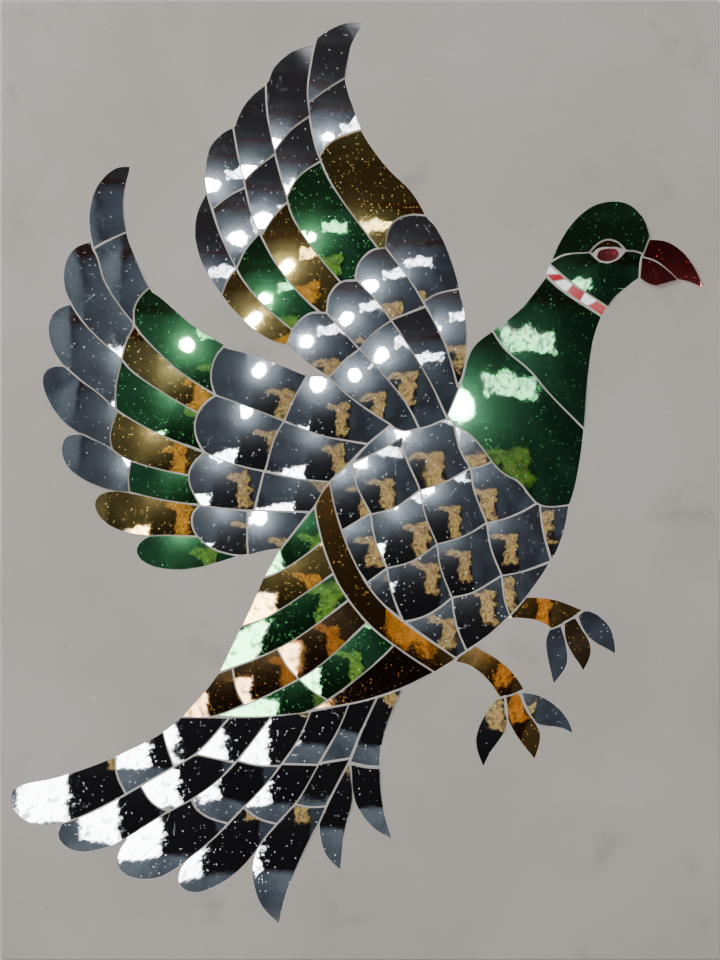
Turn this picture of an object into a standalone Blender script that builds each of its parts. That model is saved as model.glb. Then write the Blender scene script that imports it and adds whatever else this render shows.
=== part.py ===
"""Mirror-glass mosaic panel: a flying bird inlaid in a plaster ground on a board.

The panel hangs with its back flat on the wall. The origin is the centre of the
back, +Z is up, +Y points into the wall and the picture faces -Y.
"""

import math

import bmesh
import bpy
from mathutils import Matrix, Vector
from mathutils.geometry import delaunay_2d_cdt

# Driving dimensions, in metres
FIGURE_SPAN = 0.438          # the bird, tail tip to beak tip, straight across
MARGIN_LEFT = 0.0073         # bare ground beside the tail tip
MARGIN_RIGHT = 0.0117        # bare ground beside the beak tip
MARGIN_TOP = 0.0146          # bare ground over the highest wing tip
MARGIN_BOTTOM = 0.0237       # bare ground under the lowest tail tip
JOINT_WIDTH = 0.0019         # plaster showing between two pieces of glass
COLLAR_JOINT = 0.0007        # the tighter joints between the collar's bits
GLASS_THICKNESS = 0.0020
GLASS_PROUD = 0.0002         # glass standing in front of the plaster
WEB_THICKNESS = 0.0008       # glass kept behind a joint inside one node
CLEARANCE = 0.0003           # all round each glass, and between plaster and board
BED_THICKNESS = 0.0029       # plaster behind the glass
PLASTER_CORNER = 0.0025      # radius of the four corners, seen from the front
PLASTER_EDGE = 0.0012        # rounding of the front edge
BOARD_THICKNESS = 0.0120
BOARD_INSET = 0.0015         # board edge inside the plaster edge
BOARD_CHAMFER = 0.0010
CURVE_ERROR = 0.00040        # furthest a straight facet leaves its curve

# The squared-up drawing: x runs right and y runs down, in squares
DRAWING_LEFT, DRAWING_RIGHT = 11.5, 701.5
DRAWING_TOP, DRAWING_BOTTOM = 23.0, 923.0
SQUARE = FIGURE_SPAN / (DRAWING_RIGHT - DRAWING_LEFT)
FIGURE_HEIGHT = SQUARE * (DRAWING_BOTTOM - DRAWING_TOP)
PANEL_WIDTH = MARGIN_LEFT + FIGURE_SPAN + MARGIN_RIGHT
PANEL_HEIGHT = MARGIN_TOP + FIGURE_HEIGHT + MARGIN_BOTTOM
MET_WITHIN = 6.0 * SQUARE    # how near its end a line is crossed where it counts as met
DRAW_ON = 12.0 * SQUARE      # the most that it is drawn on to meet another
CUT_BACK = 24.0 * SQUARE     # the most that it is cut back to the one it met
TOUCH = 0.01                 # of a straight stretch's length, where its ends count as met
STEPS = 8                    # samples on each span of a curve
CORNER = "corner"            # stands in a line where two smooth stretches meet

# Depths, front to back
PLASTER_BACK = -BOARD_THICKNESS - CLEARANCE
POCKET_DEPTH = GLASS_THICKNESS - GLASS_PROUD + CLEARANCE
PLASTER_THICKNESS = POCKET_DEPTH + BED_THICKNESS
PLASTER_FRONT = PLASTER_BACK - PLASTER_THICKNESS
GLASS_FRONT = PLASTER_FRONT - GLASS_PROUD
GLASS_BACK = GLASS_FRONT + GLASS_THICKNESS
CUT_OVER = 0.001             # how far a cutter stands past what it cuts

# Glass and ground: base colour, metallic, roughness
FINISHES = {
    "silver": ((0.33, 0.37, 0.41, 1.0), 1.0, 0.08),
    "green": ((0.03, 0.20, 0.08, 1.0), 1.0, 0.10),
    "amber": ((0.38, 0.24, 0.06, 1.0), 1.0, 0.10),
    "brown": ((0.20, 0.11, 0.05, 1.0), 1.0, 0.12),
    "red": ((0.36, 0.01, 0.02, 1.0), 1.0, 0.10),
    "collar": ((0.70, 0.12, 0.10, 1.0), 1.0, 0.12),
    "plaster": ((0.40, 0.38, 0.35, 1.0), 0.0, 0.85),
    "board": ((0.42, 0.30, 0.19, 1.0), 0.0, 0.70),
}

LINES = []
PIECES = []


def on_panel(point):
    """A square of the drawing, as x and z on the panel."""
    x = MARGIN_LEFT - PANEL_WIDTH / 2 + (point[0] - DRAWING_LEFT) * SQUARE
    z = PANEL_HEIGHT / 2 - MARGIN_TOP - (point[1] - DRAWING_TOP) * SQUARE
    return Vector((x, z))


def stretch(points, closed):
    """A smooth curve through the points, sampled."""
    count = len(points)
    if count < 3:
        return list(points)

    def at(index):
        return points[index % count] if closed else points[min(max(index, 0), count - 1)]

    def spacing(index):
        return math.sqrt((at(index + 1) - at(index)).length)

    def slope(index):
        if not closed and index in (0, count - 1):
            near = index if index == 0 else index - 1
            straight = (at(near + 1) - at(near)) / spacing(near)
            return 1.5 * straight - 0.5 * slope(1 if index == 0 else index - 1)
        before, after = spacing(index - 1), spacing(index)
        left = (at(index) - at(index - 1)) / before
        right = (at(index + 1) - at(index)) / after
        return (left * after + right * before) / (before + after)

    sampled = []
    for index in range(count if closed else count - 1):
        start, end, width = at(index), at(index + 1), spacing(index)
        out, into = slope(index) * width, slope((index + 1) % count) * width
        for step in range(STEPS):
            t = step / STEPS
            sampled.append(start * (2 * t ** 3 - 3 * t ** 2 + 1) + out * (t ** 3 - 2 * t ** 2 + t)
                           + end * (3 * t ** 2 - 2 * t ** 3) + into * (t ** 3 - t ** 2))
    if not closed:
        sampled.append(at(count - 1))
    return sampled


def thinned(path, error=CURVE_ERROR):
    """The path with only the points that hold it within an error."""
    if len(path) < 3:
        return path
    start, end = path[0], path[-1]
    along = (end - start).normalized()
    worst, apart = 0, 0.0
    for index in range(1, len(path) - 1):
        off = path[index] - start
        distance = (off - along * off.dot(along)).length
        if distance > apart:
            worst, apart = index, distance
    if apart < error:
        return [start, end]
    return thinned(path[:worst + 1], error)[:-1] + thinned(path[worst:], error)


def thinned_ring(ring, error=CURVE_ERROR):
    """The same for a closed path, from its first point and the one furthest from it."""
    half = max(range(len(ring)), key=lambda index: (ring[index] - ring[0]).length)
    return thinned(ring[:half + 1], error)[:-1] + thinned(ring[half:] + ring[:1], error)[:-1]


def drawn(points, closed):
    """Points of the drawing, with corners marked, as a faceted path on the panel."""
    stretches = [[]]
    for point in points:
        if point == CORNER:
            stretches.append([stretches[-1][-1]])
        else:
            stretches[-1].append(on_panel(point))
    if closed and len(stretches) == 1:
        return thinned_ring(stretch(stretches[0], True))
    if closed:
        stretches[-1].append(stretches[0][0])
    path = []
    for part in stretches:
        path = path[:-1] + thinned(stretch(part, False))
    return path[:-1] if closed else path


def shifted(path, distance, closed):
    """The path moved sideways, to its left where the distance is positive."""
    moved = []
    count = len(path)
    for index, point in enumerate(path):
        before = path[index - 1] if closed or index > 0 else None
        after = path[(index + 1) % count] if closed or index < count - 1 else None
        sides = []
        if before is not None:
            sides.append((point - before).normalized())
        if after is not None:
            sides.append((after - point).normalized())
        normals = [Vector((-side.y, side.x)) for side in sides]
        middle = sum(normals, Vector((0.0, 0.0))).normalized()
        moved.append(point + middle * (distance / max(middle.dot(normals[0]), 0.25)))
    return moved


def joint(*points, name="", width=JOINT_WIDTH):
    """A joint between two pieces of glass, drawn down its middle."""
    LINES.append({"path": drawn(points, False), "closed": False, "name": name, "width": width})


def edge(*points):
    """The figure's outer edge, drawn clockwise on the edge of the glass itself."""
    path = shifted(drawn(points, False), JOINT_WIDTH / 2, False)
    LINES.append({"path": path, "closed": False, "name": "", "width": JOINT_WIDTH})


def loop(*points):
    """The whole edge of a piece that stands alone, drawn clockwise."""
    path = shifted(drawn(points, True), JOINT_WIDTH / 2, True)
    LINES.append({"path": path, "closed": True, "name": "", "width": JOINT_WIDTH})


def glass(node, finish, *seeds, inner=()):
    """A node of glass: a point inside each of its pieces, and the joints between them."""
    PIECES.append({"node": node, "finish": finish, "seeds": seeds, "inner": set(inner)})


def draw_upper_flights():
    """The raised wing's five long feathers, the first nearest the head."""
    edge((287, 344.5), (268.5, 338), (249, 323.5), (230, 304.5), (214, 282), (202, 261),
         (196, 237), (196, 225), (198, 213), (206.5, 193))
    edge((207.5, 191), (206.5, 167.5), (211, 147.5), (217, 139.5), (225, 132.5), (233, 128.5))
    edge((235.5, 128), (238.5, 118), (243.5, 108), (250, 99), (264.5, 86))
    edge((268, 86), (270.5, 77), (275, 67.5), (291.5, 52.5), (303, 48), (315, 45.5))
    edge((313.5, 45.5), (317.5, 39), (330, 31), (341, 25), (351, 23), (362.5, 24), CORNER, (350.5, 45.5),
         (345.5, 67), (344, 78), (348, 92.5), (360, 129.5), (374, 151.5), (390, 172),
         (410, 191.5), (424.5, 214.5))
    joint((316, 40), (310, 70), (307.3, 95), (312, 130), (320, 160), (335.3, 190), (351, 213),
          (378, 248))
    joint((266, 85), (267, 109), (270.5, 133), (276, 158), (283.5, 186), (291.5, 214),
          (305, 238), (322, 260.5), (340.5, 282))
    joint((233.5, 129), (237, 150), (244.5, 184), (253.5, 219.5), (263, 240), (279.5, 269),
          (303.5, 298), (318.5, 311))
    joint((207, 192), (215.5, 221), (225.5, 246), (241, 277), (263.5, 305), (290.5, 328.5))
    joint((308, 102.5), (327.5, 88.5), (344.5, 78), name="flight 1")
    joint((274, 152), (289, 131.5), (308.5, 116.5), name="flight 2")
    joint((243.5, 181), (257, 167.5), (274.5, 154), name="flight 3")
    joint((212.5, 208.5), (230, 195), (246, 187), name="flight 4")
    joint((320, 155), (330, 142), (360, 129.5))
    joint((286, 199), (298, 177), (319, 162))
    joint((261, 236), (273, 217), (286, 203))
    joint((236.5, 268), (245, 250), (258, 234))
    joint((222, 293), (229, 277), (236, 268.5))
    glass("upper_flight_1_tip", "silver", (328, 62), (330, 115), inner=["flight 1"])
    glass("upper_flight_1_root", "amber", (355, 170))
    glass("upper_flight_2_tip", "silver", (290, 90), (300, 150), inner=["flight 2"])
    glass("upper_flight_2_root", "green", (315, 215))
    glass("upper_flight_3_tip", "silver", (252, 130), (265, 190), inner=["flight 3"])
    glass("upper_flight_3_root", "amber", (290, 255))
    glass("upper_flight_4_tip", "silver", (222, 165), (235, 225), inner=["flight 4"])
    glass("upper_flight_4_root", "green", (265, 280))
    glass("upper_flight_5_tip", "silver", (208, 245))
    glass("upper_flight_5_root", "amber", (240, 300))


def draw_upper_coverts():
    """Four rounded coverts that cover the roots of the raised wing's feathers."""
    joint((385.5, 248), (387, 234), (392.5, 223), (401.5, 217), (413, 214.5), (425, 215.5))
    edge((424.5, 217), (431.5, 223), (438.5, 233), (450, 260), (458.5, 289), (464.3, 320),
         (464.7, 350), (461, 377), (457.5, 388), (451, 404), (447, 414))
    joint((386, 247.5), (370, 251.5), (358, 265), (355.5, 280))
    joint((357, 280.5), (340.5, 282.5), (329.5, 295.5), (327, 313))
    joint((327, 313), (309, 314), (294.5, 326), (287, 344))
    edge((331, 377), (314, 366), (297, 353), (289, 345))
    joint((385.5, 247), (403.5, 271.5), (428.5, 310), (447.5, 351.5), (457.5, 388))
    joint((356, 279), (380, 305), (406.5, 343.5), (433.5, 388.5), (447, 418))
    joint((326.5, 312.5), (354, 343), (382, 374), (405, 401.5), (420, 430))
    joint((424.5, 301), (436.5, 294), (458.5, 289), name="covert 1")
    joint((390.5, 320), (401.5, 316), (425.5, 306.5), name="covert 2")
    joint((361, 347), (370, 336), (390.5, 321), name="covert 3")
    joint((329.5, 377), (346, 359.5), (361, 348.5), name="covert 4")
    glass("upper_covert_1", "silver", (425, 250), (455, 330), inner=["covert 1"])
    glass("upper_covert_2", "silver", (380, 275), (430, 350), inner=["covert 2"])
    glass("upper_covert_3", "silver", (345, 305), (400, 360), inner=["covert 3"])
    glass("upper_covert_4", "silver", (315, 335), (370, 380), inner=["covert 4"])


def draw_lower_flights():
    """The lowered wing's seven feathers, from the crescent tip to the short green one."""
    edge((94, 247), (90, 224), (91, 207), (95.5, 191), (104, 178.5), (116, 169), (129, 167.5),
         CORNER, (124.5, 185), (122, 200), (123, 218), (125, 232), (130.5, 248), (138.5, 268),
         (148, 288.5), (161, 299), (178, 315), (195.5, 329), (224.5, 346.5))
    joint((90, 243), (96.5, 256), (104, 281), (121.5, 308.5), (134, 325), (147, 341),
          (176.5, 369), (214.5, 395))
    edge((71, 302), (65.5, 288), (64.5, 272.5), (68, 258.5), (76.5, 248), (88.5, 243.5))
    joint((70, 302.5), (81.5, 320), (94, 334.5), (112, 350.5), (121, 359), (127, 366.5),
          (140, 377.5), (160, 391), (180, 402.5), (196.5, 412.5))
    edge((64, 364.5), (55, 352), (50, 338), (49.5, 324), (55.5, 312), (68, 306))
    joint((64, 366), (84, 383), (99, 394), (116, 410), (133.5, 420.5), (167, 438), (204, 452.5))
    edge((82, 434), (65, 422), (54, 409), (46.5, 394.5), (43, 379.5), (48.5, 369), (64, 367.5))
    joint((80, 433), (97, 441.5), (110, 448), (120, 455.5), (131, 461), (150, 467), (189, 476))
    edge((129, 491), (113, 489.5), (96.5, 484.5), (82, 477.5), (70.5, 469), (64, 459),
         (62.5, 447), (67, 437.5), (82, 435))
    joint((128, 492.5), (145, 496), (165, 500.5), (200, 505.5))
    edge((148, 534.5), (126, 531), (111.5, 525.5), (100.5, 517), (95.5, 505.5), (98, 498),
         (106, 493), (117, 493), (130, 494.5))
    joint((144, 536), (165, 535.5), (195, 537))
    edge((237, 556.5), (207.5, 564.5), (183.5, 568.5), (167, 568), (152, 565), (141, 558.5),
         (137, 550.5), (141, 543), (149, 537.5))
    joint((94.5, 248), (107.5, 240.5), (125, 232.5), name="lower 1")
    joint((134, 325), (134, 308.5), (140, 296.5), (148, 288.5))
    joint((134, 326), (126.5, 340), (121.5, 358))
    joint((121.5, 358), (118, 375), (115, 391), (115.5, 409))
    joint((117, 411), (112, 425), (110, 437), (112, 449))
    joint((130.5, 461), (128, 477.5), (129, 492))
    glass("lower_flight_1_tip", "silver", (105, 210), (118, 270), inner=["lower 1"])
    glass("lower_flight_1_root", "green", (180, 345))
    glass("lower_flight_2_tip", "silver", (85, 285))
    glass("lower_flight_2_root", "amber", (160, 375))
    glass("lower_flight_3_tip", "silver", (80, 345))
    glass("lower_flight_3_root", "green", (150, 410))
    glass("lower_flight_4_tip", "silver", (75, 405))
    glass("lower_flight_4_root", "amber", (145, 450))
    glass("lower_flight_5_tip", "silver", (95, 462))
    glass("lower_flight_5_root", "green", (155, 484))
    glass("lower_flight_6", "amber", (145, 515))
    glass("lower_flight_7", "green", (170, 552))


def draw_lower_coverts():
    """Four pairs of coverts between the lowered wing and the body."""
    edge((219.5, 347), (246.5, 354.5), (279.5, 365.5), (306.5, 376.5), (331, 378))
    joint((329, 377.5), (346.5, 394.5), (358.5, 402.5), (370, 410), (391, 425))
    joint((225, 344.5), (215, 357.5), (211, 371), (211.5, 385), (215.5, 396))
    joint((214.5, 395), (241.5, 404.5), (283.5, 421.5), (322.5, 436), (342.5, 440),
          (369, 444.5), name="row 1")
    joint((214.5, 396), (204, 404.5), (196.5, 416), (194.5, 429), (197.5, 441), (205, 453))
    joint((204, 452.5), (234.5, 464.5), (264.5, 471), (296, 478.5), (329, 482), name="row 2")
    joint((204, 453), (194, 463), (189, 474), (190.5, 487), (201, 506))
    joint((200, 505.5), (234.5, 510), (273, 511.5), (312, 512), name="row 3")
    joint((199, 506), (192.5, 515), (192, 523), (195, 533), (203, 542), (216.5, 550.5),
          (239, 555.5))
    edge((281, 547.5), (266, 549.5), (250, 553.5), (236, 555))
    joint((306.5, 377), (296, 394.5), (284, 421), name="pair 1")
    joint((284, 421), (276, 434.5), (270.5, 449.5), (265, 471), name="pair 2")
    joint((264, 471), (259.5, 487.5), (254, 511), name="pair 3")
    joint((248, 510.5), (247, 532), (248, 555), name="pair 4")
    glass("lower_coverts", "silver", (250, 380), (320, 405), (235, 430), (310, 455),
          (225, 488), (290, 495), (220, 530), (270, 530),
          inner=["row 1", "row 2", "row 3", "pair 1", "pair 2", "pair 3", "pair 4"])


def draw_breast():
    """The breast's scales, in rows that curve with the body, and the strip round them."""
    joint((391, 425), (366, 446), (350, 463), (329, 482.5), (316, 504), (300, 525), (281, 549))
    joint((390, 425), (397, 429.5), (404, 431.5), (420, 429), (434, 425), (446, 420), (454, 421))
    joint((446.5, 413), (449, 418), (453, 423), (466.5, 432), (478, 443), (487.5, 456.5),
          (497, 468), (506.5, 475.5), (518, 481.5), (527.5, 493), (536, 502.5), (541, 505.5),
          (555, 507), (571, 505))
    joint((329.5, 482), (333.5, 503), (341, 530), (350, 552), (360, 573), (371, 590),
          (385, 606), (401.5, 620.5), (420, 633.5), (440, 647.5), (462, 662.5))
    joint((317, 502), (315.5, 507), (318, 524), (323, 544.5), (331, 568), (342, 590.5),
          (355.5, 609.5), (371, 627), (388, 641), (407, 655), (441, 677))
    edge((458, 657), (434, 671.8))
    joint((352, 463), (357.5, 488), (370.5, 513), (375, 540), (387, 568), (391.5, 592),
          (403, 621), name="down 1")
    joint((402.5, 432), (404.5, 453), (420, 490), (425, 515), (437, 544), (440, 566),
          (452, 598), (456, 625), (467, 652), name="down 2")
    joint((453.5, 422), (460, 450), (471, 468.5), (474, 490), (487, 523), (491, 548),
          (502, 576), (504.5, 600), (510, 616), name="down 3")
    joint((540, 505.5), (543, 530), (551, 560), name="down 4")
    joint((352, 464), (365, 458.5), (385, 447.5), (403, 436.5), name="across 0")
    joint((340, 532), (356, 523), (371, 514), (385, 511), (400, 505), (420, 490.5), (440, 484.5),
          (455, 477.5), (471, 468.5), (480, 467), (492, 462), name="across 1")
    joint((366, 584), (376.5, 577), (387, 568.5), (403.5, 564.5), (418.5, 558), (437, 544.5),
          (453, 540.5), (470.5, 533), (487, 523), (503, 519.5), (518, 514), (537, 503.5),
          name="across 2")
    joint((404, 622), (422.5, 617.5), (438, 609), (452, 598), (470, 594), (485, 586.5),
          (501.5, 576), (518, 573), (533.5, 567.5), (550, 562), name="across 3")
    glass("breast_scales", "silver", (387, 437), (343, 500), (385, 480), (430, 460), (470, 450),
          (357, 545), (400, 530), (450, 510), (500, 495), (380, 590), (415, 590), (465, 565),
          (520, 545), (555, 520), (435, 630), (475, 620), (515, 590),
          inner=["down 1", "down 2", "down 3", "down 4", "across 0", "across 1", "across 2",
                 "across 3"])
    glass("belt", "amber", (340, 560))


def draw_tail_bars():
    """Six slanting bars between the belt and the tail feathers."""
    edge((183, 717), (198, 701), (216.5, 678.5), (233.5, 644.5), (244.5, 622), (257, 596.5),
         (265, 577), (281, 550))
    joint((181, 717.5), (215.5, 718), (251.5, 717.5), (280, 715.5), (308.5, 712), (332, 707.5),
          (358.5, 702.5), (380, 696.5), (401.5, 688.5), (434, 672.5))
    joint((263, 578.5), (280, 571.5), (300, 559), (324, 540.5))
    joint((241, 627), (265.5, 618), (283.5, 607), (310, 590), (334.5, 573))
    joint((219, 673), (242.5, 664.5), (264, 655.5), (298, 637.5), (333.5, 611), (349, 600))
    joint((210, 717), (225, 711.5), (244.5, 705.5), (270, 694), (299, 679.5), (320, 665.5),
          (345, 643.5), (368, 622))
    joint((306, 712.5), (328, 700), (350, 684), (367.5, 669), (385, 655), (395, 644.5))
    joint((277.5, 649), (287, 666), (299, 679.5), name="bar 4 inner")
    joint((232.5, 668), (237, 691), (244.5, 705.5), name="bar 4 outer")
    joint((299, 679.5), (312, 691), (328, 700.5), name="bar 5")
    glass("tail_bar_1", "green", (298, 545))
    glass("tail_bar_2", "amber", (295, 580))
    glass("tail_bar_3", "green", (290, 625))
    glass("tail_bar_4", "brown", (228, 692), (262, 680), (320, 645),
          inner=["bar 4 inner", "bar 4 outer"])
    glass("tail_bar_5", "green", (280, 702), (350, 660), inner=["bar 5"])
    glass("tail_bar_6", "brown", (380, 680))


def draw_tail_feathers():
    """The tail's fan: five feathers of three lengths each, and two more slender ones."""
    edge((63, 822.5), (41.5, 824.5), (28.5, 821.5), (19, 814.5), (13, 807), (11.5, 799),
         (14, 791), (20.5, 787), (56, 779), (80, 771.5), (103.5, 763), (137, 748), (162.5, 734),
         (184, 716.5))
    joint((60, 824), (75, 819.5), (95.5, 810), (126, 795), (162.5, 774), (185, 761),
          (197.5, 753), (214, 735), (231.5, 716))
    edge((128, 837), (103.5, 847.5), (89.5, 851), (76.5, 851), (64, 845), (58.5, 836.5),
         (62, 825))
    joint((125, 838.5), (143.5, 827), (159.5, 817), (191, 800), (210, 786.5), (226.5, 773),
          (248, 748), (271.5, 717))
    edge((186, 860.5), (162.5, 875.5), (150, 878.5), (135.5, 878), (123, 872.5), (118, 862.5),
         (121, 850), (128, 840))
    joint((182.5, 864.5), (205, 846), (222, 830.5), (243.5, 808.5), (268, 782), (292.5, 749),
          (303, 730), (311, 711))
    edge((260, 845), (246, 860), (231, 876), (214.5, 886), (198, 892), (185, 889.5),
         (179.5, 881.5), (180, 874), (186, 862))
    joint((258.5, 847), (276, 825.5), (296, 803), (307.5, 785), (320, 763), (340.5, 725),
          (348.5, 705))
    edge((323.5, 811), (311, 834), (299.5, 859), (289.5, 882), (282.5, 904), (278.5, 923),
         CORNER, (263, 907), (256, 890.5), (253.5, 872.5), (256, 856), (263, 842))
    joint((350, 759.5), (339, 781), (331, 796), (319, 822))
    joint((376.5, 698), (359, 736.5), (349.5, 761))
    joint((349.5, 760), (351, 780), (353.5, 801))
    edge((352, 799), (345, 827), (342.5, 856), (340.5, 870.5), CORNER, (327.5, 857.5),
         (321.5, 842.5), (319.5, 821))
    edge((402, 688), (394, 705), (387, 723), (382, 741.5), (379.5, 763), (380, 786), (382, 802.5),
         (386.5, 822.5), (392, 839.5), CORNER, (377, 831), (365.5, 819.5), (356.5, 804.5),
         (353.5, 796))
    joint((115, 757), (117, 775.5), (126, 795), name="feather 1 outer")
    joint((163, 733), (167.5, 750), (174.5, 768), name="feather 1 inner")
    joint((141, 787), (150, 801), (161, 809), (173, 811), name="feather 2 outer")
    joint((197, 755), (213.5, 758.5), (234, 763), name="feather 2 inner")
    joint((190.5, 799), (196, 809), (207.5, 817.5), (228, 824), name="feather 3 outer")
    joint((237, 761), (256, 765.5), (280, 766.5), name="feather 3 inner")
    joint((244.5, 809), (259.5, 819.5), (277, 824.5), name="feather 4 outer")
    joint((282, 764.5), (299.5, 765), (319, 765.5), name="feather 4 inner")
    joint((294, 804.5), (309, 807.5), (326, 807), name="feather 5 outer")
    joint((320, 764), (336, 761), (350, 759), name="feather 5 inner")
    joint((350.5, 763.5), (365.5, 767), (381, 768), name="feather 7")
    tips = [(65, 800), (110, 825), (165, 850), (225, 860), (285, 850)]
    middles = [(145, 770), (190, 780), (235, 790), (275, 790), (320, 785)]
    roots = [(190, 735), (225, 745), (265, 745), (310, 745), (345, 735)]
    for number, seeds in enumerate(zip(tips, middles, roots), start=1):
        inner = ["feather %d outer" % number, "feather %d inner" % number]
        glass("tail_feather_%d" % number, "silver", *seeds, inner=inner)
    glass("tail_feather_6", "silver", (335, 830))
    glass("tail_feather_7", "silver", (375, 730), (368, 800), inner=["feather 7"])


def draw_neck():
    """The breast front and the neck, one large piece each, and the collar's six bits."""
    edge((458, 389.5), (463, 380.5), (466.5, 369), (469, 358), (474, 348), (483, 339), (495, 331), (515, 315.5),
         (526, 304.5), (536.5, 290.5), (547, 277.5))
    edge((601, 315.5), (595.5, 330), (589, 358.5), (585.5, 394), (583, 430), (579, 460),
         (573, 490), (567.5, 508), (563, 530), (554.5, 554), (535.5, 583), (508.5, 615),
         (478, 642), (456, 656.5))
    joint((492.5, 330.5), (503, 346.5), (515, 358.5), (531, 371.5), (545, 389), (563, 407),
          (585, 430))
    joint((545, 260), (552, 266.5), (560, 273.5), (571, 282), (585, 292), (608, 307))
    joint((540, 269), (552, 282), (562, 290.5), (575, 299), (590, 309), (604, 318))
    edge((546.5, 273), (550.5, 264))
    edge((606.5, 306.5), (601.5, 315.5))
    for number, (low, high) in enumerate([((545, 274.5), (560, 274)), ((552, 282), (567, 279)),
                                          ((565.5, 293), (573.5, 284)),
                                          ((579.5, 302), (585, 292)),
                                          ((586, 306.5), (598, 300.5))], start=1):
        joint(low, high, name="bit %d" % number, width=COLLAR_JOINT)
    glass("chest", "green", (530, 440))
    glass("neck", "green", (555, 340))
    glass("collar", "collar", (550.5, 269.5), (555, 277.5), (564, 286), (575, 292.5),
          (588, 300), (599, 307.5), inner=["bit %d" % number for number in range(1, 6)])


def draw_head():
    """The rounded head with an almond eye, and the hooked beak."""
    edge((551, 262.5), (556, 251.5), (562.5, 239), (571.5, 225.5), (582.5, 214), (593.5, 206.5),
         (604, 203), (614, 202), (625, 203.5), (634, 208.5), (641.5, 217), (646, 227), (649, 239))
    joint((551, 262), (563, 255.5), (576, 253.5), (590, 252.5))
    joint((624, 250.5), (634.5, 251), (644, 254))
    joint((589, 252.5), (598, 243.5), (608, 239.5), (618, 242.5), (626.5, 251))
    joint((589, 251.5), (597, 259.5), (607, 262.8), (618, 258.5), (626.5, 249.5))
    joint((592, 255), (598, 249.5), (608, 247.5), (618, 248.3), (625, 251.5))
    loop((597.5, 256), (600, 251), (608, 249.5), (615, 249.3), (618, 254), (614.5, 259),
         (607, 261), (600, 260))
    joint((650, 236.5), (644.5, 250), (641.5, 258.5), (640, 268), (639.5, 279))
    edge((648, 240.5), (656, 240.5), (667, 242.5), (679.5, 250), (690, 262.5), (697, 275),
         (701.5, 286.5), CORNER, (693.5, 282.5), (685, 279.5), (677, 278))
    joint((641.5, 257), (654.5, 261), (663, 266.5), (672, 274), (679, 281), name="mouth")
    edge((679, 278.5), (665, 283), (656, 285), (649, 283), (639, 276.5))
    edge((640.5, 276), (631, 282.5), (620.5, 290.5), (612, 299), (606, 307.5))
    glass("crown", "green", (600, 225))
    glass("cheek", "green", (625, 270))
    glass("eyelid", "brown", (608, 243.5))
    glass("eye", "red", (607, 255))
    glass("beak", "red", (675, 258), (655, 274), inner=["mouth"])


def draw_feet():
    """Two short legs, each with three pointed toes; the middle toe is the leg's colour."""
    edge((520, 598.5), (540, 599), (556, 601.5), (581, 610.5), CORNER, (566.5, 620.5),
         (552, 627.5), CORNER, (544.5, 622.5), (532.5, 618.5), (521, 617.5), (507, 618))
    edge((474, 646), (491, 656.5), (503.5, 665.5), (514, 676.5), (522.5, 689), CORNER,
         (512, 693.5), (501, 696.5), CORNER, (494, 686), (484, 675), (471, 665.5), (452, 660.5))
    loop((550.5, 631), (560.5, 627.5), CORNER, (564, 640), (566.5, 652), (566, 665),
         (560.5, 674), (554, 683), CORNER, (551, 668), (548, 652), (547, 641))
    loop((565.5, 623.5), (575, 619.5), CORNER, (582, 631), (589, 643), (590, 654), (583.5, 669.5),
         CORNER, (576, 658), (569.5, 646.5), (566, 635))
    loop((579.5, 616.5), (586, 612), (598.5, 617), (609, 627.5), (613.5, 640), (615, 653),
         CORNER, (603, 645), (590.5, 637.5), (584, 629))
    loop((496.5, 700.5), (504, 698), CORNER, (506, 714), (505, 728), (499, 739), (490, 752),
         (483.5, 766), CORNER, (478.5, 753), (477, 740), (481, 725), (488.5, 712))
    loop((507, 698), (519.5, 694), CORNER, (524, 705), (531, 720), (539, 732), (539, 743),
         (534.5, 758), CORNER, (524, 745), (513.5, 728.5), (507.5, 714))
    loop((521.5, 693.5), (533, 695), (546, 700), (560, 711), (568, 722), (572.5, 733), CORNER,
         (562, 727.5), (550, 725), (538, 723), (531, 715), (525.5, 705))
    glass("leg_1", "amber", (545, 610))
    glass("leg_2", "amber", (500, 675))
    glass("toe_1_back", "silver", (557, 650))
    glass("toe_1_middle", "brown", (578, 640))
    glass("toe_1_front", "silver", (600, 628))
    glass("toe_2_back", "silver", (492, 730))
    glass("toe_2_middle", "amber", (522, 725))
    glass("toe_2_front", "silver", (550, 712))


def meeting(start, end, one, other):
    """Where two straight stretches cross, or come within a touch of it."""
    along, across = end - start, other - one
    turn = along.cross(across)
    if turn == 0.0:
        return None
    far = (one - start).cross(across) / turn
    far_on_other = (one - start).cross(along) / turn
    if max(abs(far - 0.5), abs(far_on_other - 0.5)) > 0.5 + TOUCH:
        return None
    return start + along * far


def crossings(start, end, index):
    """Where the straight stretch from start to end meets any line but its own."""
    found = []
    for number, line in enumerate(LINES):
        path = line["path"]
        following = path[1:] + path[:1] if line["closed"] else path[1:]
        if number != index:
            found += [meeting(start, end, one, other) for one, other in zip(path, following)]
    return [point for point in found if point]


def cut_back(index, path, most):
    """A path cut back to the crossing nearest to its tip, if one is close enough."""
    tip = path[0]
    for step in range(1, len(path)):
        hits = [hit for hit in crossings(path[step - 1], path[step], index)
                if (hit - tip).length < most]
        if hits:
            near = min(hits, key=lambda hit: (hit - path[step - 1]).length)
            rest = path[step:]
            if len(rest) > 1 and (rest[0] - near).length < CURVE_ERROR / 10:
                rest = rest[1:]
            return [near] + rest
    return None


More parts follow.
